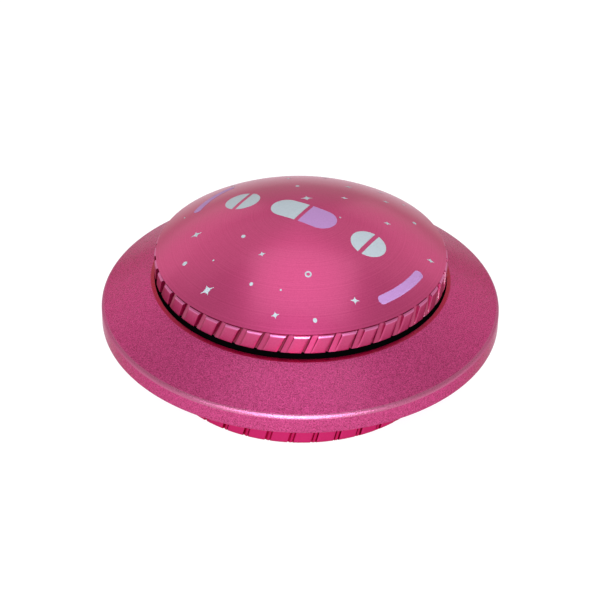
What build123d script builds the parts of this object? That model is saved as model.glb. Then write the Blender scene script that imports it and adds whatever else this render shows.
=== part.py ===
"""Twist-action pill splitter in a palm-sized anodised aluminium saucer.

Frame: millimetres, +Z up, origin at the centre of the foot on the table, -Y is the front.
A domed cap turns on a lid frame and drives a blade straight down through a cam drum.
The lid lifts off a friction ring in the saucer's well, which holds a V-shaped tablet cradle.
A grooved cup screws to the underside and stores tablets.
"""

import math
import os

from build123d import *

# ---- driving dimensions ---------------------------------------------------------------
SAUCER_R = 42.5  # flange
RIM_LOW, RIM_HIGH = 12.4, 16.35  # the flange's upright edge, before rounding
LIP_R, LIP_Z = 31.9, 22.1  # inner edge of the flange's cone, outer edge of the lip
LIP_RISE = 0.3  # the lip climbs this much towards the friction ring
LEDGE_R, LEDGE_Z = 31.05, 21.3  # recess that seats the friction ring
BORE_R = 27.4  # the saucer's upper bore
CAP_R = 31.0  # grip band of the cap
CAP_LOW, BAND_TOP, APEX = 23.7, 27.85, 37.9
DOME_EDGE_R, DOME_EDGE_Z = 30.7, 28.05
CAP_WALL = 1.9
CUP_R, CUP_LOW, CUP_TOP = 30.6, 0.35, 11.1

GROOVES = 40
CAP_GROOVE_WIDTH, CAP_GROOVE_DEPTH, CAP_GROOVE_FALL, CAP_GROOVE_LEAN = 1.75, 0.15, 6.5, 23.0
CUP_GROOVE_WIDTH, CUP_GROOVE_DEPTH, CUP_GROOVE_FALL, CUP_GROOVE_LEAN = 1.2, 0.45, 0.0, 14.0
GROOVE_CANT = 6.0  # the floor is deeper at its left side
CAP_GROOVE_START = -87.7  # polar angle of one groove at the cap's lower edge
CUP_GROOVE_START = -84.3

TURN = 100.0  # degrees of twist for a full cut
STROKE = 5.0  # blade travel
DECK_LOW, DECK_TOP = 12.4, 13.9
ANVIL_Z = 16.3  # floor of the tablet pocket
CRADLE_TOP, CRADLE_R = 20.5, 16.5
V_HALF_ANGLE = 35.0
V_APEX_X, V_APEX_HALF = 8.0, 1.6

LID_LOW, LID_PLATE_TOP, LID_TOP = 21.0, 22.6, 26.2
LID_SPIGOT_R, LID_NECK_R, LID_FLANGE_R = 27.2, 28.0, 28.9
POST_X, POST_R = 12.4, 1.2
MAGNET_ORBIT, MAGNET_R = 21.5, 2.5
DRUM_IN, DRUM_OUT = 15.2, 17.2
DRUM_LOW, DRUM_DISC, DRUM_TOP = 22.9, 31.4, 32.8
CARRIAGE_R, CARRIAGE_LOW, CARRIAGE_TOP = 14.8, 28.0, 31.1
PIN_Z = 29.6  # cam followers with the blade up
BLADE_HALF, BLADE_THICK, BLADE_EDGE, BLADE_TOP = 9.6, 0.5, 21.7, 30.9
CLAMP_THICK = 1.95
SCREW_R, HEAD_R, HEAD_H = 0.8, 1.4, 1.0

SPHERE_R = (DOME_EDGE_R**2 + (APEX - DOME_EDGE_Z) ** 2) / (2 * (APEX - DOME_EDGE_Z))
SPHERE_Z = APEX - SPHERE_R


# ---- helpers --------------------------------------------------------------------------
def sphere_z(radius, sphere):
    """Height of a sphere about the dome's centre at a radius from the axis."""
    return SPHERE_Z + math.sqrt(sphere**2 - radius**2)


def turned(*points):
    """Solid of revolution about Z from (radius, height) corners."""
    outline = Polyline(*[(r, 0, z) for r, z in points], close=True)
    return revolve(make_face(outline), Axis.Z)


def ring(inner, outer, low, high):
    return turned((inner, low), (outer, low), (outer, high), (inner, high))


def disc(radius, low, high, x=0.0, y=0.0):
    middle = Pos(x, y, (low + high) / 2)
    return middle * Cylinder(radius, high - low)


def block(x0, x1, y0, y1, z0, z1):
    middle = Pos((x0 + x1) / 2, (y0 + y1) / 2, (z0 + z1) / 2)
    return middle * Box(x1 - x0, y1 - y0, z1 - z0)


def polar(radius, degrees):
    angle = math.radians(degrees)
    return radius * math.cos(angle), radius * math.sin(angle)


def screw(x, y, tip, seat, head_r=HEAD_R, head_h=HEAD_H):
    """Upright screw; its head lies beyond the seat, away from the tip, with a hex socket."""
    away = 1 if seat > tip else -1
    crown = seat + away * head_h
    shank = disc(SCREW_R, min(tip, seat), max(tip, seat), x, y)
    head = disc(head_r, min(seat, crown), max(seat, crown), x, y)
    socket = Pos(x, y, crown) * extrude(RegularPolygon(head_r * 0.5, 6), head_h * 0.5, both=True)
    return shank + head - socket


def grip_cutters(face_r, low, top, start, width, depth, fall, lean):
    """Slanted slots with a round upper end; depth is at the foot, and fall deepens the top."""
    half = width / 2
    reach = 2.0
    run = (top - half - low) / math.cos(math.radians(lean))
    slot = Pos(reach / 2, 0, (run - reach) / 2) * Box(reach, width, run + reach)
    slot += Pos(reach / 2, 0, run) * Rot(0, 90, 0) * Cylinder(half, reach)
    slot = Rot(-lean, 0, 0) * Rot(0, -fall, 0) * Rot(0, 0, -GROOVE_CANT) * slot
    slot = Pos(face_r - depth, 0, low) * slot
    return [Rot(0, 0, start + k * 360 / GROOVES) * slot for k in range(GROOVES)]


# ---- saucer (fixed body) --------------------------------------------------------------
NECK_R, NECK_IN, NECK_LOW = 27.82, 23.6, 8.0
SEAL_Z, SEAL_R, SEAL_WIRE = 9.2, 27.27, 0.5
DECK_SCREW_ORBIT = 25.7
CRADLE_SCREWS = ((2.0, 12.0), (2.0, -12.0))
BUSH_R = 2.2
MAGNET_ANGLES = (45, 135, 225, 315)


def saucer_body():
    corners = FilletPolyline(
        (NECK_IN, 0, NECK_LOW),
        (NECK_R, 0, NECK_LOW),
        (NECK_R, 0, 11.4),
        (31.0, 0, 11.4),
        (SAUCER_R, 0, RIM_LOW),
        (SAUCER_R, 0, RIM_HIGH),
        (LIP_R, 0, LIP_Z),
        (LEDGE_R, 0, LIP_Z + LIP_RISE),
        (LEDGE_R, 0, LEDGE_Z),
        (BORE_R, 0, LEDGE_Z),
        (BORE_R, 0, DECK_LOW),
        (NECK_IN, 0, DECK_LOW),
        radius=[0, 0, 0, 0, 0.3, 1.1, 0.1, 0, 0, 0, 0, 0],
        close=True,
    )
    body = revolve(make_face(corners), Axis.Z)
    body -= ring(NECK_R - 1.07, NECK_R + 1, SEAL_Z - 0.6, SEAL_Z + 0.6)
    for angle in (0, 90, 180, 270):
        body -= disc(SCREW_R, 10.1, DECK_LOW + 1, *polar(DECK_SCREW_ORBIT, angle))
    return body


def friction_ring():
    profile = FilletPolyline(
        (27.5, 0, LEDGE_Z),
        (CAP_R, 0, LEDGE_Z),
        (CAP_R, 0, CAP_LOW - 0.15),
        (27.5, 0, CAP_LOW - 0.15),
        radius=[0, 0, 0.25, 0.25],
        close=True,
    )
    return revolve(make_face(profile), Axis.Z)


def deck_plate():
    plate = disc(BORE_R - 0.1, DECK_LOW, DECK_TOP)
    for angle in MAGNET_ANGLES:
        x, y = polar(MAGNET_ORBIT, angle)
        plate += disc(MAGNET_R + 0.9, DECK_TOP, 20.6, x, y)
        plate -= disc(MAGNET_R, 18.6, 21.0, x, y)
    for angle in (0, 90, 180, 270):
        plate -= disc(SCREW_R, DECK_LOW - 1, DECK_TOP + 1, *polar(DECK_SCREW_ORBIT, angle))
    for x, y in CRADLE_SCREWS:
        plate -= disc(SCREW_R, DECK_LOW - 1, DECK_TOP + 1, x, y)
    return plate


def deck_screws():
    spots = [polar(DECK_SCREW_ORBIT, angle) for angle in (0, 90, 180, 270)]
    return [screw(x, y, 10.1, DECK_TOP) for x, y in spots]


def body_magnets():
    return [disc(MAGNET_R, 18.6, 20.5, *polar(MAGNET_ORBIT, angle)) for angle in MAGNET_ANGLES]


def pill_cradle():
    """Block with a V pocket open to -X, a blade slit at its apex and two dowel holes."""
    slope = math.tan(math.radians(V_HALF_ANGLE))
    mouth_x = -CRADLE_R - 1
    mouth_half = V_APEX_HALF + (V_APEX_X - mouth_x) * slope
    pocket = Polyline(
        (V_APEX_X, V_APEX_HALF),
        (mouth_x, mouth_half),
        (mouth_x, -mouth_half),
        (V_APEX_X, -V_APEX_HALF),
        close=True,
    )
    body = disc(CRADLE_R, DECK_TOP, CRADLE_TOP)
    body -= Pos(0, 0, ANVIL_Z) * extrude(make_face(pocket), CRADLE_TOP)
    body = chamfer(body.faces().sort_by(Axis.Z)[-1].edges().filter_by(GeomType.CIRCLE), 0.6)
    body -= block(V_APEX_X - 1, 10.4, -0.9, 0.9, ANVIL_Z, CRADLE_TOP + 1)
    body -= anvil_strip()
    for side in (-1, 1):
        body -= disc(BUSH_R, DECK_TOP - 1, ANVIL_Z, side * POST_X)
        body -= disc(POST_R + 0.4, ANVIL_Z - 1, CRADLE_TOP + 1, side * POST_X)
    for x, y in CRADLE_SCREWS:
        body -= disc(SCREW_R, DECK_TOP - 1, 17.5, x, y)
    return body


def anvil_strip():
    return block(-9.8, 9.4, -1.2, 1.2, ANVIL_Z - 1.0, ANVIL_Z)


def cradle_pad(side):
    """Ribbed rubber strip on one wall of the V pocket."""
    length, thick, height = 13.0, 1.2, 3.9
    pad = Box(length, thick, height)
    for k in range(-4, 5):
        pad -= Pos(k * 1.4, -thick / 2, 0) * Cylinder(0.3, height + 1)
    along = length / 2 + 1.0
    lean = math.radians(V_HALF_ANGLE)
    x = V_APEX_X - along * math.cos(lean) - thick / 2 * math.sin(lean)
    y = V_APEX_HALF + along * math.sin(lean) - thick / 2 * math.cos(lean)
    placed = Pos(x, y, ANVIL_Z + height / 2) * Rot(0, 0, -V_HALF_ANGLE) * pad
    return placed if side > 0 else mirror(placed, Plane.XZ)


def cradle_screws():
    return [screw(x, y, 17.5, DECK_LOW) for x, y in CRADLE_SCREWS]


def locating_bushes():
    bush = ring(POST_R + 0.06, BUSH_R, DECK_TOP, ANVIL_Z)
    return [Pos(side * POST_X, 0, 0) * bush for side in (-1, 1)]


def base_seal():
    section = Pos(SEAL_R, 0, SEAL_Z) * Rot(90, 0, 0) * Circle(SEAL_WIRE)
    return revolve(section, Axis.Z)


# ---- lid frame ------------------------------------------------------------------------
def lid_frame():
    body = turned(
        (0, LID_LOW),
        (LID_SPIGOT_R, LID_LOW),
        (LID_SPIGOT_R, CAP_LOW - 0.1),
        (LID_NECK_R, CAP_LOW - 0.1),
        (LID_NECK_R, 24.95),
        (LID_FLANGE_R, 24.95),
        (LID_FLANGE_R, LID_TOP),
        (25.4, LID_TOP),
        (25.4, LID_PLATE_TOP),
        (0, LID_PLATE_TOP),
    )
    for angle in MAGNET_ANGLES:
        x, y = polar(MAGNET_ORBIT, angle)
        body += disc(MAGNET_R + 0.8, LID_PLATE_TOP, 23.6, x, y)
        body -= disc(MAGNET_R, LID_LOW - 1, 23.0, x, y)
    window = Pos(0, 0, LID_LOW - 1) * extrude(RectangleRounded(20.6, 6.0, 1.0), 4)
    body -= window
    for side in (-1, 1):
        body -= disc(POST_R, LID_LOW - 1, LID_PLATE_TOP + 1, side * POST_X)
    return body


def guide_posts():
    post = disc(POST_R, 14.3, 31.2)
    post = chamfer(post.edges().filter_by(GeomType.CIRCLE), 0.3)
    return [Pos(side * POST_X, 0, 0) * post for side in (-1, 1)]


def lid_magnets():
    return [disc(MAGNET_R, 21.1, 23.0, *polar(MAGNET_ORBIT, angle)) for angle in MAGNET_ANGLES]


# ---- cap and drum (turning body) ------------------------------------------------------
SHELF_Z, SHELF_R, CAP_BORE = 26.75, 26.4, 29.1
SNAP_R, SNAP_LOW, SNAP_HIGH = 29.8, 24.1, 24.8
DRUM_SCREW_ORBIT = 9.5
DRUM_SCREW_ANGLES = (30, 150, 270)


def dome_cap():
    inner_sphere = SPHERE_R - CAP_WALL
    inner_edge_z = sphere_z(SHELF_R, inner_sphere)
    mid_r = DOME_EDGE_R / 2
    outline = [
        Polyline(
            (0, 0, sphere_z(0, inner_sphere)),
            (0, 0, APEX),
        ),
        ThreePointArc(
            (0, 0, APEX),
            (mid_r, 0, sphere_z(mid_r, SPHERE_R)),
            (DOME_EDGE_R, 0, DOME_EDGE_Z),
        ),
        Polyline(
            (DOME_EDGE_R, 0, DOME_EDGE_Z),
            (DOME_EDGE_R - 0.35, 0, DOME_EDGE_Z - 0.1),
            (DOME_EDGE_R - 0.35, 0, BAND_TOP),
            (CAP_R - 0.5, 0, BAND_TOP),
        ),
        ThreePointArc(
            (CAP_R - 0.5, 0, BAND_TOP),
            (CAP_R - 0.2, 0, BAND_TOP - 0.27),
            (CAP_R, 0, BAND_TOP - 0.65),
        ),
        Polyline(
            (CAP_R, 0, BAND_TOP - 0.65),
            (CAP_R, 0, CAP_LOW + 0.15),
            (CAP_R - 0.15, 0, CAP_LOW),
            (CAP_BORE, 0, CAP_LOW),
            (CAP_BORE, 0, SHELF_Z),
            (SHELF_R, 0, SHELF_Z),
            (SHELF_R, 0, inner_edge_z),
        ),
        ThreePointArc(
            (SHELF_R, 0, inner_edge_z),
            (SHELF_R / 2, 0, sphere_z(SHELF_R / 2, inner_sphere)),
            (0, 0, sphere_z(0, inner_sphere)),
        ),
    ]
    shell = revolve(make_face(Wire([edge for line in outline for edge in line.edges()])), Axis.Z)
    for angle in DRUM_SCREW_ANGLES:
        x, y = polar(DRUM_SCREW_ORBIT, angle)
        shell += disc(2.4, DRUM_TOP, 35.8, x, y)
        shell -= disc(SCREW_R, DRUM_TOP - 1, 34.7, x, y)
    shell -= ring(CAP_BORE - 1, SNAP_R, SNAP_LOW, SNAP_HIGH)
    cutters = grip_cutters(
        CAP_R, CAP_LOW, DOME_EDGE_Z + 0.05, CAP_GROOVE_START,
        CAP_GROOVE_WIDTH, CAP_GROOVE_DEPTH, CAP_GROOVE_FALL, CAP_GROOVE_LEAN,
    )
    return shell - cutters


def drive_drum():
    """Inverted cup with two helical cam slots; a clockwise twist runs the followers down."""
    drum = ring(DRUM_IN, DRUM_OUT, DRUM_LOW, DRUM_DISC) + disc(DRUM_OUT, DRUM_DISC, DRUM_TOP)
    half_gap = 1.2
    middle = (DRUM_IN + DRUM_OUT) / 2
    path = Helix(STROKE * 360 / TURN, STROKE, middle, lefthand=True)
    start = Plane(origin=path @ 0, x_dir=(1, 0, 0), z_dir=path % 0)
    end = Rot(0, 90, 0) * Cylinder(half_gap, 6.0)
    slot = [
        sweep(start * Rectangle(6.0, 2 * half_gap), path=path, is_frenet=True),
        Pos(middle, 0, 0) * end,
        Rot(0, 0, -TURN) * Pos(middle, 0, STROKE) * end,
    ]
    for side in (90, 270):
        for cutter in slot:
            drum -= Rot(0, 0, side + TURN) * Pos(0, 0, PIN_Z - STROKE) * cutter
    for angle in DRUM_SCREW_ANGLES:
        x, y = polar(DRUM_SCREW_ORBIT, angle)
        drum -= disc(SCREW_R, DRUM_DISC - 1, DRUM_TOP + 1, x, y)
        drum -= disc(HEAD_R + 0.1, DRUM_DISC - 1, DRUM_DISC + 0.8, x, y)
    return drum


def drum_screws():
    spots = [polar(DRUM_SCREW_ORBIT, angle) for angle in DRUM_SCREW_ANGLES]
    return [screw(x, y, 34.7, DRUM_DISC + 0.8, head_h=0.75) for x, y in spots]


def retaining_ring():
    split = ring(28.15, SNAP_R, SNAP_LOW, SNAP_HIGH)
    return split - block(-1.5, 1.5, 20, 40, SNAP_LOW - 1, SNAP_HIGH + 1)


def thrust_washer():
    return ring(26.6, LID_FLANGE_R, LID_TOP + 0.05, SHELF_Z)


# ---- blade carriage (sliding body) ----------------------------------------------------
BLADE_SCREW_X = 6.0
WEB_LOW = 26.6


def blade_carriage():
    half = BLADE_THICK / 2
    body = disc(CARRIAGE_R, CARRIAGE_LOW, CARRIAGE_TOP)
    body -= block(-9.7, 9.7, -4.6, half, CARRIAGE_LOW - 1, CARRIAGE_TOP + 1)
    body += block(-9.4, 9.4, half, half + CLAMP_THICK, WEB_LOW, CARRIAGE_LOW)
    for side in (-1, 1):
        body -= disc(BUSH_R, CARRIAGE_LOW - 1, CARRIAGE_TOP + 1, side * POST_X)
        body -= Pos(0, side * 12.65, PIN_Z) * Rot(90, 0, 0) * Cylinder(0.6, 4.3)
        body -= Pos(side * BLADE_SCREW_X, 2, PIN_Z) * Rot(90, 0, 0) * Cylinder(SCREW_R, 4)
        body -= disc(2.0, CARRIAGE_LOW - 1, CARRIAGE_TOP + 1, side * 6.5, 8.5)
        body -= disc(2.0, CARRIAGE_LOW - 1, CARRIAGE_TOP + 1, side * 6.5, -8.5)
    return body


def carriage_bushes():
    bush = ring(POST_R + 0.05, BUSH_R, CARRIAGE_LOW, CARRIAGE_TOP)
    return [Pos(side * POST_X, 0, 0) * bush for side in (-1, 1)]


def follower_pins():
    pin = Pos(0, 13.8, PIN_Z) * Rot(90, 0, 0) * Cylinder(0.6, 6.6)
    return [pin, Rot(0, 0, 180) * pin]


def follower_rollers():
    tube = Cylinder(1.05, 2.0) - Cylinder(0.63, 3.0)
    roller = Pos(0, 16.05, PIN_Z) * Rot(90, 0, 0) * tube
    return [roller, Rot(0, 0, 180) * roller]


def blade():
    """Thin steel blade with a two-sided ground edge along X."""
    half = BLADE_THICK / 2
    shoulder = BLADE_EDGE + 1.6
    section = Polyline(
        (0, -half, BLADE_TOP),
        (0, -half, shoulder),
        (0, -0.03, BLADE_EDGE),
        (0, 0.03, BLADE_EDGE),
        (0, half, shoulder),
        (0, half, BLADE_TOP),
        close=True,
    )
    body = extrude(make_face(section), BLADE_HALF, dir=(1, 0, 0), both=True)
    for side in (-1, 1):
        hole = Pos(side * BLADE_SCREW_X, 0, PIN_Z) * Rot(90, 0, 0) * Cylinder(SCREW_R, 2)
        body -= hole
    return body


def blade_clamp():
    back = -BLADE_THICK / 2
    body = block(-9.4, 9.4, back - CLAMP_THICK, back, WEB_LOW, BLADE_TOP)
    for side in (-1, 1):
        hole = Pos(side * BLADE_SCREW_X, back, PIN_Z) * Rot(90, 0, 0) * Cylinder(SCREW_R, 6)
        body -= hole
    return body


def blade_screws():
    seat = -BLADE_THICK / 2 - CLAMP_THICK
    upright = screw(0, 0, 4.0 - seat, 0, head_r=1.25, head_h=0.9)
    laid = Pos(0, seat, PIN_Z) * Rot(-90, 0, 0) * upright
    return [Pos(side * BLADE_SCREW_X, 0, 0) * laid for side in (-1, 1)]


# ---- base cup -------------------------------------------------------------------------
CUP_IN, CUP_FLOOR = 27.9, 2.0
FOOT_IN, FOOT_OUT, FOOT_HIGH = 24.0, 27.0, 1.2


def base_cup():
    cup = turned(
        (0, CUP_LOW),
        (CUP_R - 0.7, CUP_LOW),
        (CUP_R, CUP_LOW + 0.75),
        (CUP_R, CUP_TOP - 0.4),
        (CUP_R - 0.4, CUP_TOP),
        (CUP_IN, CUP_TOP),
        (CUP_IN, CUP_FLOOR),
        (0, CUP_FLOOR),
    )
    cup -= ring(FOOT_IN, FOOT_OUT, CUP_LOW - 1, FOOT_HIGH)
    cutters = grip_cutters(
        CUP_R, CUP_LOW, 9.0, CUP_GROOVE_START,
        CUP_GROOVE_WIDTH, CUP_GROOVE_DEPTH, CUP_GROOVE_FALL, CUP_GROOVE_LEAN,
    )
    return cup - cutters


def foot_ring():
    return ring(FOOT_IN, FOOT_OUT, 0, FOOT_HIGH)


def storage_divider():
    """Drop-in ring with three vanes meeting at a hub."""
    low, high = CUP_FLOOR + 0.1, 7.6
    tray = ring(26.4, 27.5, low, high) + disc(2.0, low, high)
    for angle in (30, 150, 270):
        tray += Rot(0, 0, angle) * block(0, 26.9, -0.5, 0.5, low, high)
    return tray


# ---- write one file per piece ---------------------------------------------------------
PIECES = {
    "saucer_body": saucer_body,
    "friction_ring": friction_ring,
    "deck_plate": deck_plate,
    "deck_screws": deck_screws,
    "body_magnets": body_magnets,
    "pill_cradle": pill_cradle,
    "anvil_strip": anvil_strip,
    "cradle_pad_left": lambda: cradle_pad(1),
    "cradle_pad_right": lambda: cradle_pad(-1),
    "cradle_screws": cradle_screws,
    "locating_bushes": locating_bushes,
    "base_seal": base_seal,
    "lid_frame": lid_frame,
    "guide_posts": guide_posts,
    "lid_magnets": lid_magnets,
    "dome_cap": dome_cap,
    "drive_drum": drive_drum,
    "drum_screws": drum_screws,
    "retaining_ring": retaining_ring,
    "thrust_washer": thrust_washer,
    "blade_carriage": blade_carriage,
    "carriage_bushes": carriage_bushes,
    "follower_pins": follower_pins,
    "follower_rollers": follower_rollers,
    "blade": blade,
    "blade_clamp": blade_clamp,
    "blade_screws": blade_screws,
    "base_cup": base_cup,
    "foot_ring": foot_ring,
    "storage_divider": storage_divider,
}


def main():
    os.makedirs("parts", exist_ok=True)
    for name, make in PIECES.items():
        shape = make()
        solids = shape if isinstance(shape, list) else [shape]
        solids = [solid for item in solids for solid in item.solids()]
        result = solids[0] if len(solids) == 1 else Compound(children=solids)
        result.label = name
        export_step(result, f"parts/{name}.step")


main()
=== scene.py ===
"""Looks of a pink anodised twist-top pill splitter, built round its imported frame."""

import math

import bmesh
import bpy
from mathutils import Matrix, Vector


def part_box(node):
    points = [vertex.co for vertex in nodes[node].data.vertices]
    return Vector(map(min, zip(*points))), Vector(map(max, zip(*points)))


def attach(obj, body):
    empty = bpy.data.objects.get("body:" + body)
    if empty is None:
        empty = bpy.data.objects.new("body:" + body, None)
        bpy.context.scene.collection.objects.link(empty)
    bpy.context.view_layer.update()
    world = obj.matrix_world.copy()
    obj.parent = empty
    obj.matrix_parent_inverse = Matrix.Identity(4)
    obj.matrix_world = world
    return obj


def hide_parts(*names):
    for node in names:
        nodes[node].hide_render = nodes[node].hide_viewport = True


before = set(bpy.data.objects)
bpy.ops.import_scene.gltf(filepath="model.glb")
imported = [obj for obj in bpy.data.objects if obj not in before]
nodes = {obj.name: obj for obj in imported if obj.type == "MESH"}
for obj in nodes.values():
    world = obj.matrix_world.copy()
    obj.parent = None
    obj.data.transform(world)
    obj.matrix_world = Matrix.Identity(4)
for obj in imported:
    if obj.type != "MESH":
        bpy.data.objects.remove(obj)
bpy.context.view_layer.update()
MM = 0.001

# ---- driving sizes, mm, read from the frame where it has them ---------------------------
def extent(node):
    """Outer radius, lowest and highest level of a turned node."""
    low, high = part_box(node)
    return high.x / MM, low.z / MM, high.z / MM


CAP_R, CAP_LOW, APEX = extent("dome_cap")
CUP_R, CUP_LOW, CUP_TOP = extent("base_cup")
_, RING_LOW, RING_TOP = extent("friction_ring")
SAUCER_R, SAUCER_LOW, _ = extent("saucer_body")
RIM_LOW, RIM_HIGH = 12.4, 16.35  # the flange's upright edge
LIP_R, LIP_Z, LIP_RISE, LEDGE_R = 31.9, 22.1, 0.3, 31.05
BORE_R, DECK_LOW = 27.4, 12.4
SHOULDER_R, SHOULDER_Z = 31.0, 11.4  # underside of the flange over the cup
NECK_R, NECK_IN = 27.82, 23.6
SEAL_GROOVE_R, SEAL_LOW, SEAL_HIGH = 26.75, 8.6, 9.8
RING_IN = 27.5
BAND_TOP, DOME_EDGE_R, DOME_EDGE_Z = 27.85, 30.7, 28.05
BAND_ROUND, HEM_ROUND = 0.5, 0.12  # the band's upper and lower edge
CAP_WALL, CAP_BORE, SHELF_R, SHELF_Z = 1.9, 29.1, 26.4, 26.75
SNAP_R, SNAP_LOW, SNAP_HIGH = 29.8, 24.1, 24.8  # groove of the retaining ring
CUP_IN, CUP_FLOOR, CUP_ROUND = 27.9, 2.0, 0.75
FOOT_IN, FOOT_OUT, FOOT_HIGH = 24.0, 27.0, 1.2  # groove of the rubber foot
SPHERE_R = (DOME_EDGE_R**2 + (APEX - DOME_EDGE_Z) ** 2) / (2 * (APEX - DOME_EDGE_Z))
SPHERE_Z = APEX - SPHERE_R

GROOVES, GROOVE_CANT = 40, math.radians(6)
GROOVE_REACH = 0.95  # rows further in than this stay round
# start, fall and lean in degrees; crevices are the extra depths beside the left and right wall
CAP_GROOVE = dict(start=-87.7, width=1.75, depth=0.15, fall=6.5, lean=23, crevices=(0.25, 0))
CUP_GROOVE = dict(start=-84.3, width=1.2, depth=0.35, fall=0, lean=14, crevices=(0.3, 0.3))
CUP_GROOVE_TOP = 9.0


# ---- mesh helpers ------------------------------------------------------------------------
def finish_mesh(name, vertices, faces, sharp_degrees=35):
    mesh = bpy.data.meshes.new(name)
    mesh.from_pydata(vertices, [], faces)
    mesh.validate()
    made = bmesh.new()
    made.from_mesh(mesh)
    bmesh.ops.recalc_face_normals(made, faces=made.faces)
    made.to_mesh(mesh)
    made.free()
    mesh.shade_smooth()
    mesh.set_sharp_from_angle(angle=math.radians(sharp_degrees))
    piece = bpy.data.objects.new(name, mesh)
    bpy.context.scene.collection.objects.link(piece)
    return piece


def arc(centre, radius, start, end, steps):
    """Points of an arc in the (r, z) plane, angles in degrees from +r."""
    angles = [math.radians(start + (end - start) * k / steps) for k in range(steps + 1)]
    return [(centre[0] + radius * math.cos(a), centre[1] + radius * math.sin(a)) for a in angles]


def rounded(outline, steps=6):
    """Closed (r, z) points from ((r, z), radius) corners, each rounded to its own radius."""
    points = []
    for k, (corner, radius) in enumerate(outline):
        here = Vector(corner)
        if not radius:
            points.append(tuple(here))
            continue
        before = (Vector(outline[k - 1][0]) - here).normalized()
        after = (Vector(outline[(k + 1) % len(outline)][0]) - here).normalized()
        half = before.angle(after) / 2
        reach = radius / math.tan(half)
        centre = here + (before + after).normalized() * radius / math.sin(half)
        first, last = here + before * reach - centre, here + after * reach - centre
        for step in range(steps + 1):
            share = step / steps
            spoke = (first * (1 - share) + last * share).normalized() * radius
            points.append(tuple(centre + spoke))
    return points


def lathe(name, rows, columns=360, grip=None):
    """Turned mesh from closed (r, z) rows in mm; a grip sinks its slots into the outer face."""
    vertices, index, shade = [], [], []
    for r, z in rows:
        if r < 1e-6:
            index.append([len(vertices)] * columns)
            vertices.append((0, 0, z * MM))
            shade.append(0.0)
            continue
        index.append(list(range(len(vertices), len(vertices) + columns)))
        for column in range(columns):
            radius, angle, dark = r, 2 * math.pi * column / columns, 0.0
            if grip:
                radius, angle, dark = grip.place(r, z, column)
            vertices.append((radius * math.cos(angle) * MM, radius * math.sin(angle) * MM, z * MM))
            shade.append(dark)
    faces = []
    for low, high in zip(index, index[1:] + index[:1]):
        for column in range(columns):
            after = (column + 1) % columns
            face = []
            for vertex in (low[column], low[after], high[after], high[column]):
                if vertex not in face:
                    face.append(vertex)
            if len(face) > 2:
                faces.append(face)
    piece = finish_mesh(name, vertices, faces)
    # a grip's painted shade is kept on the mesh for the materials
    if grip:
        piece.data.attributes.new("crevice", "FLOAT", "POINT").data.foreach_set("value", shade)
    return piece


class Grip:
    """Slanted slots round a grip band: round upper ends, a crevice beside one wall or both, and
    painted shade on their floors and edges.
    """

    WALL, EDGE = 0.05, 0.06  # widths of a slot's wall and of the broken edge beside it
    LEAST = 0.3  # half width where a slot ends
    SINK = 0.03  # least depth of an edge or a floor
    EDGE_DARK = 0.8  # painted shade on the broken edges, from 0 to 1; it also tones down their glints
    RIGHT_DARK = 0.6  # least painted shade beside the right wall
    LAND_STEPS = 6  # columns across the land between two slots

    def __init__(self, face_r, low, top, start, width, depth, fall, lean, crevices):
        self.face_r, self.low, self.top, self.inner_r = face_r, low, top, face_r - GROOVE_REACH
        self.start, self.lean = math.radians(start), math.radians(lean)
        self.half, self.depth, self.fall = width / 2, depth, math.tan(math.radians(fall))
        left, right = crevices
        dark = max(right / left, self.RIGHT_DARK)
        # place across the slot from -1 to 1, extra depth in mm, painted shade
        self.floor = [(-1, left, 1), (-0.45, left, 0.9), (-0.3, 0, 0.55), (0, 0, 0.45)]
        self.floor += [(0.3, 0, 0.4), (0.6, 0, 0.4), (0.7, right, dark), (1, right, dark)]
        self.floor_last = len(self.floor) + 1  # columns 0 and 1 are the left edge
        self.per = self.floor_last + 2 + self.LAND_STEPS
        self.columns = self.per * GROOVES
        self.end_z = top - self.half

    def half_width(self, z):
        over = max((z - self.end_z) / math.cos(self.lean), 0)
        return math.sqrt(max(self.half**2 - over**2, 0)) / math.cos(self.lean)

    def place(self, r, z, column):
        """Radius, angle and painted shade of a vertex; columns follow the slots and sink in them."""
        groove, slot = divmod(column, self.per)
        wide = self.half_width(z)
        cut = wide > self.LEAST and r > self.inner_r
        wide = max(wide, self.LEAST)
        if slot < 2:
            across = -wide - self.EDGE + slot * self.EDGE
        elif slot <= self.floor_last:
            across = self.floor[slot - 2][0] * (wide - self.WALL)
        elif slot <= self.floor_last + 2:
            across = wide + (slot - self.floor_last - 1) * self.EDGE
        else:
            first = wide + self.EDGE
            last = 2 * math.pi * self.face_r / GROOVES - wide - self.EDGE
            across = first + (last - first) * (slot - self.floor_last - 2) / self.LAND_STEPS
        climb = min(max(z, self.low), self.top) - self.low
        radius, dark = r, 0.0
        if cut and 2 <= slot <= self.floor_last:
            depth = self.depth + climb * self.fall - across * math.tan(GROOVE_CANT)
            depth += self.floor[slot - 2][1]
            dark = self.floor[slot - 2][2]
            radius = min(r, self.face_r - max(depth, self.SINK))
        elif cut and slot in (1, self.floor_last + 1):
            radius, dark = min(r, self.face_r - self.SINK), self.EDGE_DARK
        arc_length = across + climb * math.tan(self.lean)
        return radius, self.start + groove * 2 * math.pi / GROOVES + arc_length / self.face_r, dark


# ---- materials ---------------------------------------------------------------------------
def shader_of(made):
    return made.node_tree.nodes["Principled BSDF"]


def material(name, color, metallic, roughness, **sockets):
    """New material; sockets are further shader sockets, with _ for a space in their names."""
    made = bpy.data.materials.new(name)
    made.use_nodes = True
    shader = shader_of(made)
    shader.inputs["Base Color"].default_value = (*color, 1)
    shader.inputs["Metallic"].default_value = metallic
    shader.inputs["Roughness"].default_value = roughness
    for key, value in sockets.items():
        shader.inputs[key.replace("_", " ")].default_value = value
    return made


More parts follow.
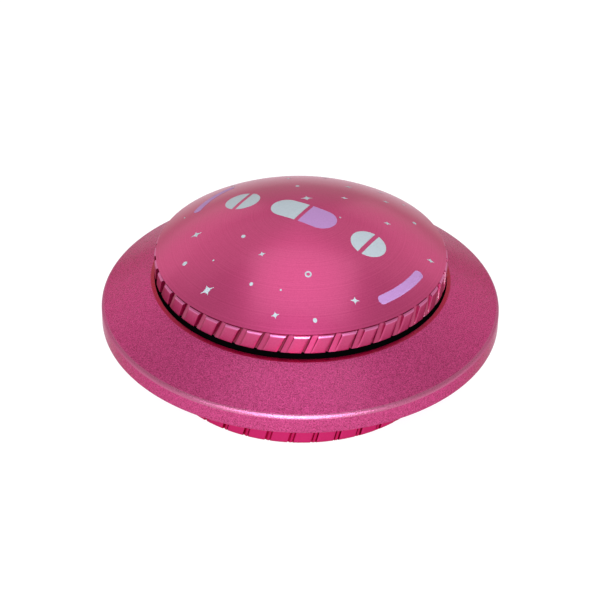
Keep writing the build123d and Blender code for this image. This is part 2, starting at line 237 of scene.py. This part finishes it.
def add(made, kind, inputs=None, **settings):
    """Adds a node; inputs maps socket names or numbers to values or output sockets."""
    node = made.node_tree.nodes.new(kind)
    for key, value in settings.items():
        setattr(node, key, value)
    for key, value in (inputs or {}).items():
        if isinstance(value, bpy.types.NodeSocket):
            made.node_tree.links.new(value, node.inputs[key])
        else:
            node.inputs[key].default_value = value
    return node


def plug(made, output, socket):
    made.node_tree.links.new(output, shader_of(made).inputs[socket])


def maths(made, operation, a, b=0.0):
    return add(made, "ShaderNodeMath", {0: a, 1: b}, operation=operation).outputs[0]


def weighted(made, a, b, share):
    """Sum of two values, with share of the second."""
    first = maths(made, "MULTIPLY", a, 1 - share)
    return maths(made, "ADD", first, maths(made, "MULTIPLY", b, share))


def place_of(made):
    return add(made, "ShaderNodeTexCoord").outputs["Object"]


def radius_of(made):
    """Distance from the turning axis."""
    flat = add(made, "ShaderNodeVectorMath", {0: place_of(made), 1: (1, 1, 0)}, operation="MULTIPLY")
    length = add(made, "ShaderNodeVectorMath", {0: flat.outputs[0]}, operation="LENGTH")
    return length.outputs["Value"]


def noise(made, scale, detail, rough, value=None):
    """Noise through space, or along one value; scale is in cells for each metre."""
    inputs = {"Scale": scale, "Detail": detail, "Roughness": rough}
    if value is None:
        inputs["Vector"], dimensions = place_of(made), "3D"
    else:
        inputs["W"], dimensions = value, "1D"
    return add(made, "ShaderNodeTexNoise", inputs, noise_dimensions=dimensions).outputs["Fac"]


def spread(made, value, low, high, out_low=0.0, out_high=1.0):
    """Maps low to high onto out_low to out_high, and holds the ends."""
    inputs = {"Value": value, "From Min": low, "From Max": high, "To Min": out_low, "To Max": out_high}
    return add(made, "ShaderNodeMapRange", inputs).outputs[0]


def blend_colors(made, share, under, top):
    """Colour between two by a 0 to 1 share; the first may be an output socket."""
    if not isinstance(under, bpy.types.NodeSocket):
        under = (*under, 1)
    node = add(made, "ShaderNodeMix", {0: share, 6: under, 7: (*top, 1)}, data_type="RGBA")
    return node.outputs[2]


def bump(made, height, strength, distance):
    node = add(made, "ShaderNodeBump", {"Height": height, "Strength": strength, "Distance": distance})
    plug(made, node.outputs[0], "Normal")


def band_mask(made, low, high, inner, outer=99.0):
    """1 between two heights and two radii, all in mm, 0 elsewhere."""
    height = add(made, "ShaderNodeSeparateXYZ", {0: place_of(made)}).outputs["Z"]
    radius = radius_of(made)
    soft = 0.08 * MM
    share = spread(made, height, low * MM - soft, low * MM + soft)
    for value, edge, rising in ((height, high, False), (radius, inner, True), (radius, outer, False)):
        ends = (0.0, 1.0) if rising else (1.0, 0.0)
        part = spread(made, value, edge * MM - soft, edge * MM + soft, *ends)
        share = maths(made, "MULTIPLY", share, part)
    return share


def crevice_shade_mask(made):
    """Painted shade that the grip wrote on the mesh, darkest in the slots' left corners."""
    return add(made, "ShaderNodeAttribute", attribute_name="crevice").outputs["Fac"]


EDGE_TINT = (0.50, 0.13, 0.27, 1)  # dye keeps its colour at grazing angles
FLANGE_EDGE_HIGHLIGHT, BAND_EDGE_HIGHLIGHT = (0.47, 0.112, 0.21), (0.57, 0.125, 0.28)  # painted highlights, paler pink on the flange's rounded edge and on the cap band's bevel
LIP_PAINTED_SHADE = (0.33, 0.0003, 0.036)  # painted shade and painted red reflection on the lip beside the black ring
# painted shade in the slots' corners and on their broken edges, on the cap and the cup
CAP_CREVICE_SHADE, CUP_CREVICE_SHADE = (0.22, 0.0003, 0.03), (0.36, 0.0003, 0.035)


def turned_anodising():
    """Fine concentric tool marks under satin pink dye, sealed with a clear oxide skin."""
    deep, light = (0.455, 0.037, 0.13), (0.54, 0.052, 0.172)
    made = material(
        "anodised_turned", light, 0.9, 0.35, Specular_Tint=EDGE_TINT,
        Coat_Weight=0.6, Coat_Roughness=0.2, Anisotropic=0.5, Anisotropic_Rotation=0.25,
    )
    lines = noise(made, 3300, 3, 0.7, radius_of(made))
    grain = noise(made, 3600, 2, 0.6)
    mixed = weighted(made, lines, grain, 0.5)
    dye = blend_colors(made, spread(made, mixed, 0.35, 0.65), deep, light)
    # painted highlight along the band's upper bevel
    edge = band_mask(made, BAND_TOP - 0.6, BAND_TOP, CAP_R - BAND_ROUND)
    dye = blend_colors(made, edge, dye, BAND_EDGE_HIGHLIGHT)
    # painted shade in the slots, darkest beside their left wall
    crevice = crevice_shade_mask(made)
    plug(made, blend_colors(made, crevice, dye, CAP_CREVICE_SHADE), "Base Color")
    turned = spread(made, lines, 0.3, 0.7, 0.31, 0.37)
    milled = maths(made, "MULTIPLY", crevice, 0.8)
    plug(made, maths(made, "MAXIMUM", turned, milled), "Roughness")
    bump(made, mixed, 0.2, 0.00003)
    around = add(made, "ShaderNodeTangent", direction_type="RADIAL", axis="Z")
    plug(made, around.outputs[0], "Tangent")
    return made


def blasted_anodising():
    """Bead-blasted dye: a sandy grain of small dents that glitters in the light."""
    deep, light = (0.31, 0.022, 0.095), (0.62, 0.067, 0.228)
    made = material(
        "anodised_blasted", light, 0.95, 0.36, Specular_Tint=EDGE_TINT,
        Coat_Weight=0.35, Coat_Roughness=0.2,
    )
    fine = noise(made, 4400, 2, 0.6)
    coarse = noise(made, 1500, 2, 0.5)
    mixed = weighted(made, fine, coarse, 0.12)
    dye = blend_colors(made, spread(made, mixed, 0.38, 0.62), deep, light)
    # painted highlight along the flange's rounded edge
    edge = band_mask(made, RIM_HIGH - 0.6, RIM_HIGH + 1, SAUCER_R - 0.6)
    # the lip beside the black ring: painted shade and painted red reflection of the pink faces round
    # it
    lip_shade = band_mask(made, LIP_Z - 0.1, LIP_Z + 1, LEDGE_R - 0.3, LIP_R - 0.02)
    dye = blend_colors(made, edge, dye, FLANGE_EDGE_HIGHLIGHT)
    plug(made, blend_colors(made, lip_shade, dye, LIP_PAINTED_SHADE), "Base Color")
    plug(made, spread(made, fine, 0.3, 0.7, 0.25, 0.36), "Roughness")
    bump(made, mixed, 0.8, 0.00011)
    return made


def satin_anodising():
    """Smooth satin dye of the lower cup."""
    deep, light = (0.43, 0.016, 0.09), (0.52, 0.023, 0.125)
    made = material("anodised_satin", light, 0.85, 0.42, Specular_Tint=EDGE_TINT)
    lines = noise(made, 2600, 2, 0.6)
    dye = blend_colors(made, lines, deep, light)
    # painted shade in the slots of the cup
    plug(made, blend_colors(made, crevice_shade_mask(made), dye, CUP_CREVICE_SHADE), "Base Color")
    bump(made, lines, 0.2, 0.00004)
    return made


def matt_black():
    made = material("matt_black", (0.0008, 0.0008, 0.0008), 0.0, 0.7, Specular_IOR_Level=0.0)
    grain = noise(made, 2500, 2, 0.5)
    plug(made, spread(made, grain, 0.3, 0.7, 0.55, 0.72), "Roughness")
    bump(made, grain, 0.15, 0.00004)
    return made


def machined(name, color, rough, scale=2200):
    """Bare metal with fine tool marks."""
    made = material(name, color, 1.0, rough)
    marks = noise(made, scale, 3, 0.6)
    dark = tuple(c * 0.86 for c in color)
    plug(made, blend_colors(made, marks, dark, color), "Base Color")
    plug(made, spread(made, marks, 0.3, 0.7, rough - 0.05, rough + 0.07), "Roughness")
    bump(made, marks, 0.15, 0.00003)
    return made


def moulded(name, color, rough, scale=1800, depth=0.00005):
    """Moulded plastic or rubber with a spark-eroded grain."""
    made = material(name, color, 0.0, rough)
    grain = noise(made, scale, 3, 0.6)
    cloud = noise(made, 60, 2, 0.5)
    dark = tuple(c * 0.9 for c in color)
    plug(made, blend_colors(made, cloud, dark, color), "Base Color")
    plug(made, spread(made, grain, 0.3, 0.7, rough - 0.06, rough + 0.08), "Roughness")
    bump(made, grain, 0.25, depth)
    return made


STEEL = machined("steel", (0.62, 0.62, 0.63), 0.28)
NICKEL = machined("nickel", (0.66, 0.64, 0.60), 0.16, 900)
BRONZE = machined("bronze", (0.62, 0.40, 0.18), 0.3)
# cradle_pad_right, thrust_washer and blade_clamp are not listed: they keep the frame's plain finish
FINISHES = {
    "deck_plate": machined("deck_aluminium", (0.50, 0.50, 0.52), 0.36),
    "deck_screws": STEEL,
    "cradle_screws": STEEL,
    "drum_screws": STEEL,
    "blade_screws": STEEL,
    "guide_posts": STEEL,
    "follower_pins": STEEL,
    "body_magnets": NICKEL,
    "lid_magnets": NICKEL,
    "pill_cradle": moulded("cradle_plastic", (0.36, 0.39, 0.42), 0.46),
    "anvil_strip": moulded("anvil_plastic", (0.10, 0.11, 0.125), 0.5),
    "cradle_pad_left": moulded("pad_rubber", (0.05, 0.052, 0.06), 0.72, 1400, 0.00008),
    "locating_bushes": BRONZE,
    "carriage_bushes": BRONZE,
    "base_seal": moulded("seal_rubber", (0.02, 0.02, 0.02), 0.55),
    "lid_frame": moulded("lid_plastic", (0.34, 0.35, 0.37), 0.44),
    "drive_drum": moulded("drum_acetal", (0.03, 0.03, 0.034), 0.38),
    "follower_rollers": moulded("roller_acetal", (0.46, 0.45, 0.42), 0.38),
    "retaining_ring": machined("spring_steel", (0.32, 0.32, 0.34), 0.3),
    "blade_carriage": machined("carriage_aluminium", (0.70, 0.70, 0.72), 0.3),
    "blade": machined("blade_steel", (0.72, 0.72, 0.73), 0.14, 3600),
    "foot_ring": moulded("foot_rubber", (0.03, 0.03, 0.03), 0.75),
    "storage_divider": moulded("divider_plastic", (0.38, 0.40, 0.43), 0.44),
}
for node_name, finish in FINISHES.items():
    nodes[node_name].data.materials.clear()
    nodes[node_name].data.materials.append(finish)


# ---- visible turned parts ------------------------------------------------------------------
def on_body(piece, body, made, node):
    """Puts a piece on its body, with its material, in place of a node."""
    piece.data.materials.append(made)
    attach(piece, body)
    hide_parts(node)


def sphere_z(radius, sphere):
    """Level of a sphere about the dome's centre, at a distance from the axis."""
    return SPHERE_Z + math.sqrt(sphere**2 - radius**2)


def steps_between(low, high, count):
    return [low + (high - low) * k / count for k in range(count + 1)]


def make_saucer():
    outline = [
        ((NECK_IN, SAUCER_LOW), 0.2),
        ((NECK_R, SAUCER_LOW), 0.2),
        ((NECK_R, SEAL_LOW), 0),
        ((SEAL_GROOVE_R, SEAL_LOW), 0),
        ((SEAL_GROOVE_R, SEAL_HIGH), 0),
        ((NECK_R, SEAL_HIGH), 0),
        ((NECK_R, SHOULDER_Z), 0.2),
        ((SHOULDER_R, SHOULDER_Z), 0.3),
        ((SAUCER_R, RIM_LOW), 0.3),
        ((SAUCER_R, RIM_HIGH), 1.1),
        ((LIP_R, LIP_Z), 0.1),
        ((LEDGE_R, LIP_Z + LIP_RISE), 0.05),
        ((LEDGE_R, RING_LOW), 0),
        ((BORE_R, RING_LOW), 0.15),
        ((BORE_R, DECK_LOW), 0),
        ((NECK_IN, DECK_LOW), 0),
    ]
    return lathe("saucer", rounded(outline), 480)


def make_ring():
    """Black ring, as wide as the cap that sits on it."""
    outline = [((RING_IN, RING_LOW), 0.1), ((CAP_R, RING_LOW), 0.1)]
    outline += [((CAP_R, RING_TOP), 0.25), ((RING_IN, RING_TOP), 0.25)]
    return lathe("black_ring", rounded(outline), 360)


def make_cap():
    """Outline from the inner shelf down the bore, up the grip band and over the dome."""
    grip = Grip(CAP_R, CAP_LOW, DOME_EDGE_Z + 0.05, **CAP_GROOVE)
    inner = SPHERE_R - CAP_WALL
    slit_r = DOME_EDGE_R - 0.35  # shadow slit between the band and the dome
    rows = [(SHELF_R, SHELF_Z), (CAP_BORE, SHELF_Z), (CAP_BORE, SNAP_HIGH), (SNAP_R, SNAP_HIGH)]
    rows += [(SNAP_R, SNAP_LOW), (CAP_BORE, SNAP_LOW)]
    rows += [(CAP_BORE, CAP_LOW + 0.1), (CAP_BORE + 0.1, CAP_LOW)]
    rows += arc((CAP_R - HEM_ROUND, CAP_LOW + HEM_ROUND), HEM_ROUND, -90, 0, 4)
    rows += [(CAP_R, z) for z in steps_between(CAP_LOW + 0.4, BAND_TOP - 0.7, 8)]
    rows += arc((CAP_R - BAND_ROUND, BAND_TOP - 0.6), BAND_ROUND, 0, 80, 9)
    rows += [(CAP_R - 0.46, BAND_TOP - 0.15), (slit_r, BAND_TOP - 0.45)]
    rows += [(slit_r, DOME_EDGE_Z - 0.15), (DOME_EDGE_R - 0.1, DOME_EDGE_Z - 0.08)]
    for share in steps_between(0, 1, 44)[:-1]:
        r = (DOME_EDGE_R - 0.03) * math.cos(share * math.pi / 2)
        rows.append((r, sphere_z(r, SPHERE_R)))
    rows.append((0, APEX))
    rows.append((0, APEX - CAP_WALL))
    for share in steps_between(0, 1, 12)[1:]:
        r = SHELF_R * math.sin(share * math.pi / 2)
        rows.append((r, sphere_z(r, inner)))
    return lathe("cap", rows, grip.columns, grip)


def make_cup():
    grip = Grip(CUP_R, CUP_LOW, CUP_GROOVE_TOP, **CUP_GROOVE)
    rows = [(0, CUP_LOW), (20.0, CUP_LOW), (FOOT_IN, CUP_LOW), (FOOT_IN, FOOT_HIGH)]
    rows += [(FOOT_OUT, FOOT_HIGH), (FOOT_OUT, CUP_LOW), (CUP_R - CUP_ROUND, CUP_LOW)]
    rows += arc((CUP_R - CUP_ROUND, CUP_LOW + CUP_ROUND), CUP_ROUND, -80, 0, 6)
    rows += [(CUP_R, z) for z in steps_between(CUP_LOW + 1.2, grip.end_z, 8)]
    rows += [(CUP_R, z) for z in steps_between(grip.end_z + 0.08, grip.top + 0.05, 8)]
    rows += arc((CUP_R - 0.4, CUP_TOP - 0.4), 0.4, 0, 90, 5)
    rows += [(CUP_IN + 0.1, CUP_TOP), (CUP_IN, CUP_TOP - 0.1)]
    rows += [(CUP_IN, CUP_FLOOR + 0.2), (CUP_IN - 0.2, CUP_FLOOR), (0, CUP_FLOOR)]
    return lathe("cup", rows, grip.columns, grip)


on_body(make_saucer(), "saucer", blasted_anodising(), "saucer_body")
on_body(make_ring(), "saucer", matt_black(), "friction_ring")
on_body(make_cap(), "dome", turned_anodising(), "dome_cap")
on_body(make_cup(), "base", satin_anodising(), "base_cup")


# ---- printed marks on the dome --------------------------------------------------------------
PRINT_HIGH, PRINT_DEEP = 0.03, 0.05
SCORE = 0.45  # half width of the line across a tablet
TABLET, CAPSULE, CAPSULE_WIDE = 7.4, 15.0, 6.6


def patch(x, y, turn, spots, height, across=6):
    """Grid of (x, y) points under a mark; height(u) gives its lower and upper edge at u."""
    c, s = math.cos(math.radians(turn)), math.sin(math.radians(turn))
    points = []
    for u in spots:
        for v in steps_between(*height(u), across):
            points.append((x + u * c - v * s, y + u * s + v * c))
    wide = across + 1
    cells = []
    for k in range(len(spots) - 1):
        for j in range(across):
            a = k * wide + j
            cells.append([a, a + wide, a + wide + 1, a + 1])
    return points, cells


def curved_patch(x, y, radius, half, start, end, count=48, across=3):
    """Grid under an arc-shaped stroke with round ends; a full turn closes on itself."""
    full = end - start >= 360
    columns = count if full else count + 1
    points = []
    for k in range(columns):
        angle = math.radians(start + (end - start) * k / count)
        past = max(half - radius * math.radians((end - start) * min(k, count - k) / count), 0)
        wide = half if full else max(math.sqrt(half**2 - past**2), 0.05)
        for r in steps_between(radius - wide, radius + wide, across):
            points.append((x + r * math.cos(angle), y + r * math.sin(angle)))
    cells = []
    for k in range(count):
        for j in range(across):
            a, b = k * (across + 1) + j, (k + 1) % columns * (across + 1) + j
            cells.append([a, a + 1, b + 1, b])
    return points, cells


def eased(low, high, count=16):
    """Positions from low to high, closer together at both ends."""
    return [low + (high - low) * (1 - math.cos(math.pi * k / count)) / 2 for k in range(count + 1)]


def star(x, y, size, turn=0):
    """Four-pointed star with hollow sides."""
    spots = [size * (k / 10) ** 3 for k in range(-10, 11)]

    def height(u):
        reach = size * max(1 - (abs(u) / size) ** 0.5, 0) ** 1.75
        return -reach - 0.03, reach + 0.03

    return patch(x, y, turn, spots, height, 4)


def pill(x, y, turn, length, wide, low=None, high=None, side=0):
    """Part of a tablet or capsule: from low to high along it, and one side of a score line."""
    half, straight = wide / 2, (length - wide) / 2

    def height(u):
        past = min(max(abs(u) - straight, 0), half)
        reach = max(math.sqrt(half**2 - past**2), 0.05)
        if side:
            return sorted((side * SCORE, side * max(reach, SCORE + 0.05)))
        return -reach, reach

    low = -length / 2 if low is None else low
    high = length / 2 if high is None else high
    return patch(x, y, turn, eased(low, high), height)


def dot(x, y, size):
    return pill(x, y, 0, 2 * size, 2 * size)


def printed(name, patches, made):
    """Thin closed film over the dome, one island for each patch."""
    vertices, faces = [], []
    for points, cells in patches:
        base, count = len(vertices), len(points)
        for lift in (-PRINT_DEEP, PRINT_HIGH):
            for x, y in points:
                vertices.append((x * MM, y * MM, sphere_z(math.hypot(x, y), SPHERE_R + lift) * MM))
        rim = set()
        for cell in cells:
            faces.append([base + count + k for k in cell])
            faces.append([base + k for k in reversed(cell)])
            for edge in zip(cell, cell[1:] + cell[:1]):
                rim.add(edge)
        for a, b in rim:
            if (b, a) not in rim:
                faces.append([base + a, base + b, base + count + b, base + count + a])
    piece = finish_mesh(name, vertices, faces, 60)
    piece.data.materials.append(made)
    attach(piece, "dome")


def ink(name, color):
    """Matt pad-print ink with a slightly uneven film."""
    made = material(name, color, 0.0, 0.6, Specular_IOR_Level=0.25)
    film = noise(made, 2600, 3, 0.6)
    dark = tuple(c * 0.93 for c in color)
    plug(made, blend_colors(made, spread(made, film, 0.35, 0.65), dark, color), "Base Color")
    bump(made, film, 0.1, 0.00002)
    return made


# x, y and half size of the larger stars, small stars and dots scattered over the dome
BIG_STARS = [
    (-22, -2, 1.15), (-19, -19, 1.35), (1, 6, 1.2),
    (27, -6, 0.8), (10, 16, 0.8), (-8, -13, 0.75),
]
SMALL_STARS = [
    (-5, -27, 0.8), (11, -23, 0.9), (18, 12, 0.7),
    (9, 8, 0.7), (18, 1, 0.75), (-15, 21, 0.6),
    (-3, 20, 0.6), (5, 23, 0.7), (17, 19, 0.6),
]
DOTS = [
    (-12, -7, 0.45), (-24, -10, 0.5), (-10, -20, 0.38), (3, -28, 0.42),
    (-1, 13, 0.42), (24, 6, 0.42), (-4, -22, 0.2), (-18, -12, 0.2),
    (-25, 8, 0.2), (8, -1, 0.2), (22, 15, 0.28),
]
SLANT = -30  # degrees, the line that the tablets stand along


def along(u):
    """Place on that line, u from the dome's middle."""
    return u * math.cos(math.radians(SLANT)), u * math.sin(math.radians(SLANT))


def make_print():
    pale = [star(x, y, size, 8) for x, y, size in BIG_STARS + SMALL_STARS]
    pale += [dot(x, y, size) for x, y, size in DOTS]
    pale.append(curved_patch(1.5, -18.5, 0.55, 0.16, 0, 360, 32, 2))
    for low, high in ((None, -SCORE), (SCORE, None)):
        pale.append(pill(*along(-14.5), SLANT, TABLET, TABLET, low, high))
    for side in (-1, 1):
        pale.append(pill(*along(16.0), SLANT + 90, TABLET, TABLET, side=side))
    pale.append(pill(*along(0.5), SLANT, CAPSULE, CAPSULE_WIDE, None, -SCORE))
    lilac = [pill(*along(0.5), SLANT, CAPSULE, CAPSULE_WIDE, SCORE, None)]
    lilac.append(curved_patch(0, 0, 27.0, 0.9, -54, -24))
    lilac.append(curved_patch(0, 0, 24.0, 0.8, 128, 160))
    printed("print_pale", pale, ink("pale_ink", (0.345, 0.37, 0.375)))
    printed("print_lilac", lilac, ink("lilac_ink", (0.34, 0.165, 0.34)))


make_print()


# ---- floor, light, camera ------------------------------------------------------------------
def make_stage():
    bpy.ops.mesh.primitive_plane_add(size=6.0)
    floor = bpy.context.object
    floor.name = "floor"
    made = material(
        "floor_white", (0.25, 0.25, 0.25), 0.0, 1.0, Specular_IOR_Level=0.0,
        Emission_Color=(1, 1, 1, 1), Emission_Strength=0.82,
    )
    floor.data.materials.append(made)


def softbox(name, place, target, size, power, tint):
    lamp = bpy.data.lights.new(name, "AREA")
    lamp.shape = "RECTANGLE"
    lamp.size, lamp.size_y = size
    lamp.energy = power
    lamp.color = tint
    made = bpy.data.objects.new(name, lamp)
    made.location = place
    made.rotation_euler = (Vector(target) - Vector(place)).to_track_quat("-Z", "Y").to_euler()
    bpy.context.scene.collection.objects.link(made)


# name, place, width and height in metres, power in watts, tint
SOFTBOXES = [
    ("overhead", (0.01, 0.13, 0.75), (0.58, 0.50), 0.98, (0.95, 1.0, 1.10)),
    ("front_hot", (-0.01, -0.62, 0.42), (0.28, 0.40), 3.6, (0.88, 1.05, 1.20)),
    ("front_strip", (-0.07, -0.66, 0.40), (1.10, 0.30), 3.8, (0.88, 1.0, 1.20)),
    ("front_low", (0.0, -0.75, 0.13), (0.30, 0.14), 2.5, (0.90, 1.0, 1.15)),
    ("back", (0.0, 0.9, 0.40), (1.8, 0.6), 0.25, (1.0, 1.0, 1.0)),
    ("back_left", (-0.55, 0.85, 0.36), (0.8, 0.4), 0.5, (1.0, 0.95, 1.0)),
    ("back_right", (0.55, 0.85, 0.36), (0.8, 0.4), 0.45, (1.0, 0.95, 1.0)),
    ("top_back", (0.0, 0.50, 0.62), (1.5, 0.4), 0.6, (1.0, 1.0, 1.0)),
]
SKY = [(0, 0.70), (0.45, 0.68), (0.9, 0.52)]  # height of a direction, brightness there


def make_light():
    world = bpy.data.worlds.new("studio")
    world.use_nodes = True
    tree = world.node_tree
    height = tree.nodes.new("ShaderNodeSeparateXYZ")
    tree.links.new(tree.nodes.new("ShaderNodeTexCoord").outputs["Generated"], height.inputs[0])
    ramp = tree.nodes.new("ShaderNodeValToRGB")
    tree.links.new(height.outputs["Z"], ramp.inputs[0])
    tree.links.new(ramp.outputs[0], tree.nodes["Background"].inputs["Color"])
    steps = ramp.color_ramp.elements
    for position, level in SKY:
        step = steps[0] if position == 0 else steps.new(position)
        step.color = (level, level, level, 1)
    steps.remove(steps[-1])  # the white end that a new ramp has
    bpy.context.scene.world = world
    for name, place, size, power, tint in SOFTBOXES:
        softbox(name, place, (0, 0, 0.02), size, power, tint)


# camera fitted to the outline: place in metres, look down and roll in degrees, lens in mm
CAMERA_PLACE, LOOK_DOWN, ROLL = (-0.00008, -0.3820, 0.2756), math.radians(34.24), math.radians(0.91)
LENS, SENSOR = 129.2, 36.0


def make_camera():
    camera = bpy.data.cameras.new("camera")
    camera.lens, camera.sensor_width = LENS, SENSOR
    camera.clip_start, camera.clip_end = 0.01, 10.0
    made = bpy.data.objects.new("camera", camera)
    look = Vector((0, math.cos(LOOK_DOWN), -math.sin(LOOK_DOWN)))
    turn = look.to_track_quat("-Z", "Y").to_matrix().to_4x4() @ Matrix.Rotation(ROLL, 4, "Z")
    made.matrix_world = Matrix.Translation(CAMERA_PLACE) @ turn
    bpy.context.scene.collection.objects.link(made)
    bpy.context.scene.camera = made


make_stage()
make_light()
make_camera()
bpy.context.scene.view_settings.view_transform = "Standard"
